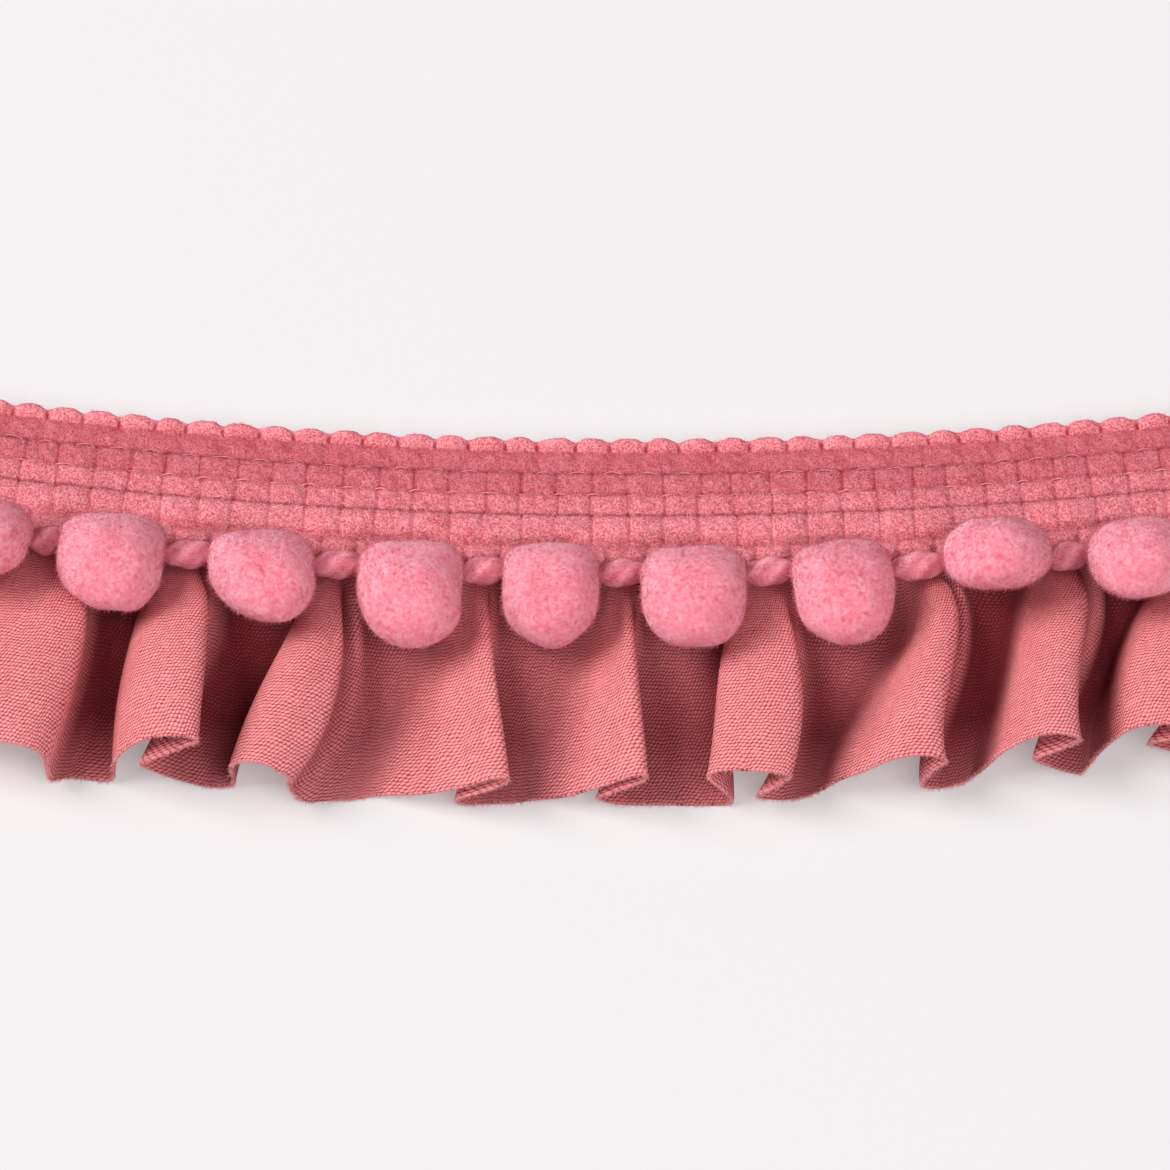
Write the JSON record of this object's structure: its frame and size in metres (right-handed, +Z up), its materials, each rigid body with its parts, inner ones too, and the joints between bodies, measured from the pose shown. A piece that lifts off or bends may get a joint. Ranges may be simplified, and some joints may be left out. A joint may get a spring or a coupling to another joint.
{
  "type": "pompom fringe trim",
  "caption": "Soft knitted heading with a row of hanging pompoms over a gathered plain-woven ruffle, lying flat in a shallow arc.",
  "frame": {"origin": "middle of the heading's flat back, on the surface the trim lies on", "axes": "+X along the trim, +Y across it from the ruffle's hem towards the scalloped edge, +Z up from the flat back through the heading"},
  "size_m": [0.1707, 0.0537, 0.0151],
  "materials": {
    "heading_yarn": "matt fuzzy knitted yarn",
    "ruffle_cotton": "matt plain-woven cotton",
    "pompom_pile": "matt dense clipped pile",
    "link_yarn": "matt bound soft yarn"
  },
  "bodies": {
    "root": {"heading": "heading_yarn", "ruffle": "ruffle_cotton", "pompom_01": "pompom_pile", "pompom_02": "pompom_pile", "pompom_03": "pompom_pile", "pompom_04": "pompom_pile", "pompom_05": "pompom_pile", "pompom_06": "pompom_pile", "pompom_07": "pompom_pile", "pompom_08": "pompom_pile", "pompom_09": "pompom_pile", "link_01": "link_yarn", "link_02": "link_yarn", "link_03": "link_yarn", "link_04": "link_yarn", "link_05": "link_yarn", "link_06": "link_yarn", "link_07": "link_yarn", "link_08": "link_yarn"}
  },
  "joints": []
}
